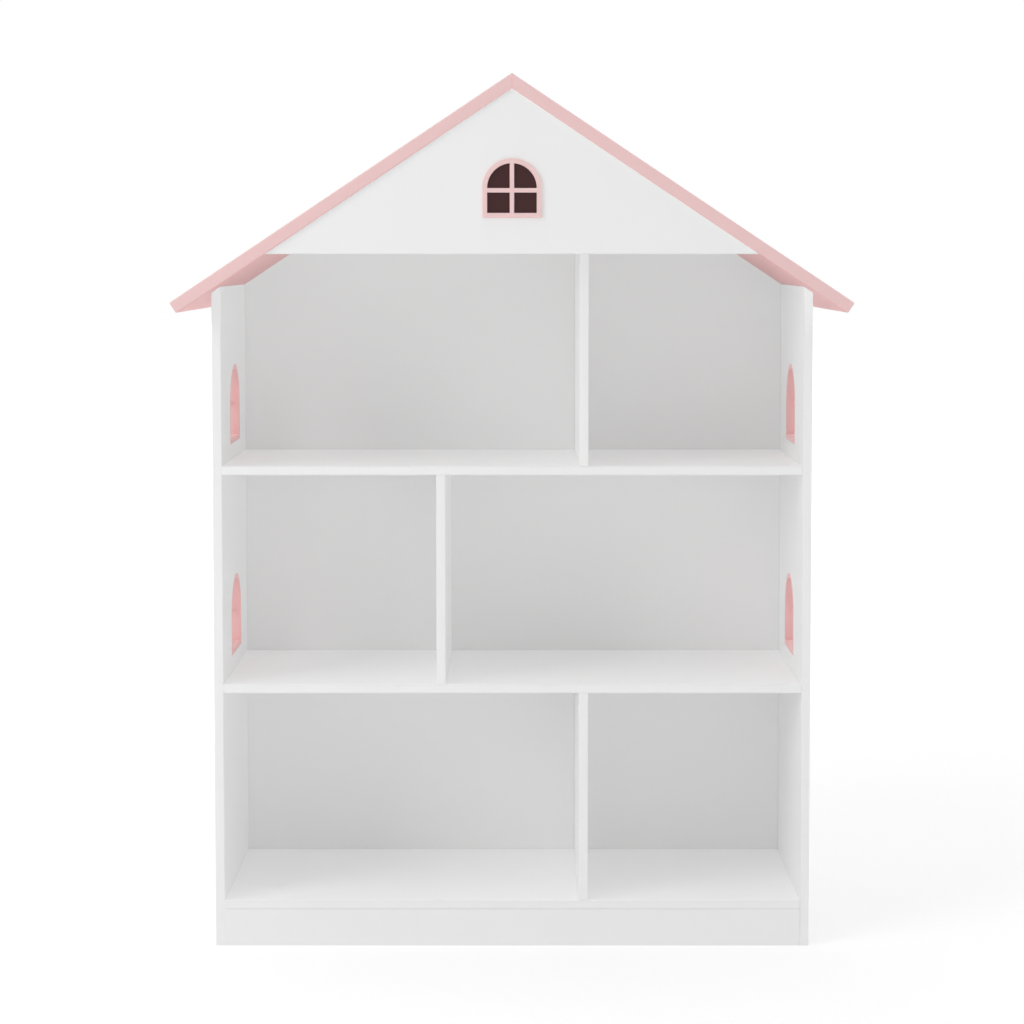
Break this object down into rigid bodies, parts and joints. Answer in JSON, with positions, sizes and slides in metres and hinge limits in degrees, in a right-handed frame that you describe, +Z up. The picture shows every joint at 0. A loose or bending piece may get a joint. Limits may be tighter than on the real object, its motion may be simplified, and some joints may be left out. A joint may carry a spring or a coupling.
{
  "type": "house shaped bookcase",
  "caption": "House-shaped bookcase for a child: white cabinet with three tiers and offset dividers under a pink pitched roof, with arched windows.",
  "frame": {"origin": "on the floor, at the middle of the overall width and depth, which are the roof's width and the depth from the roof's front edge to the side panels' rear edges", "axes": "+X to the object's left as it faces the viewer, which is the viewer's right; +Y from the open front to the rear; +Z up"},
  "size_m": [0.8794, 0.345, 1.1482],
  "materials": {
    "white_paint": "satin white paint on smooth fibreboard",
    "white_back": "satin white face of a thin hardboard sheet",
    "pink_paint": "satin pale pink paint on smooth fibreboard",
    "pink_trim": "satin pale pink paint",
    "dark_pane": "satin dark brown paint on a thin plate",
    "pine": "bare planed softwood",
    "beech": "bare turned hardwood",
    "zinc_steel": "bright zinc plating",
    "white_cap": "glossy white moulded plastic"
  },
  "bodies": {
    "root": {"left_side_panel": "white_paint", "right_side_panel": "white_paint", "base_shelf": "white_paint", "middle_shelf": "white_paint", "upper_shelf": "white_paint", "lower_divider": "white_paint", "middle_divider": "white_paint", "upper_divider": "white_paint", "front_plinth": "white_paint", "rear_plinth": "white_paint", "gable_panel": "white_paint", "back_panel": "white_back", "left_roof_board": "pink_paint", "right_roof_board": "pink_paint", "roof_plugs": "pink_paint", "gable_window_frame": "pink_trim", "upper_left_window": "pink_trim", "middle_left_window": "pink_trim", "upper_right_window": "pink_trim", "middle_right_window": "pink_trim", "gable_window_panes": "dark_pane", "left_gable_cleat": "pine", "right_gable_cleat": "pine", "ridge_batten": "pine", "rear_roof_rail": "pine", "shelf_dowels": "beech", "plinth_dowels": "beech", "divider_dowels": "beech", "side_screws": "zinc_steel", "roof_screws": "zinc_steel", "cleat_screws": "zinc_steel", "ridge_screws": "zinc_steel", "back_panel_nails": "zinc_steel", "side_screw_caps": "white_cap"}
  },
  "joints": []
}
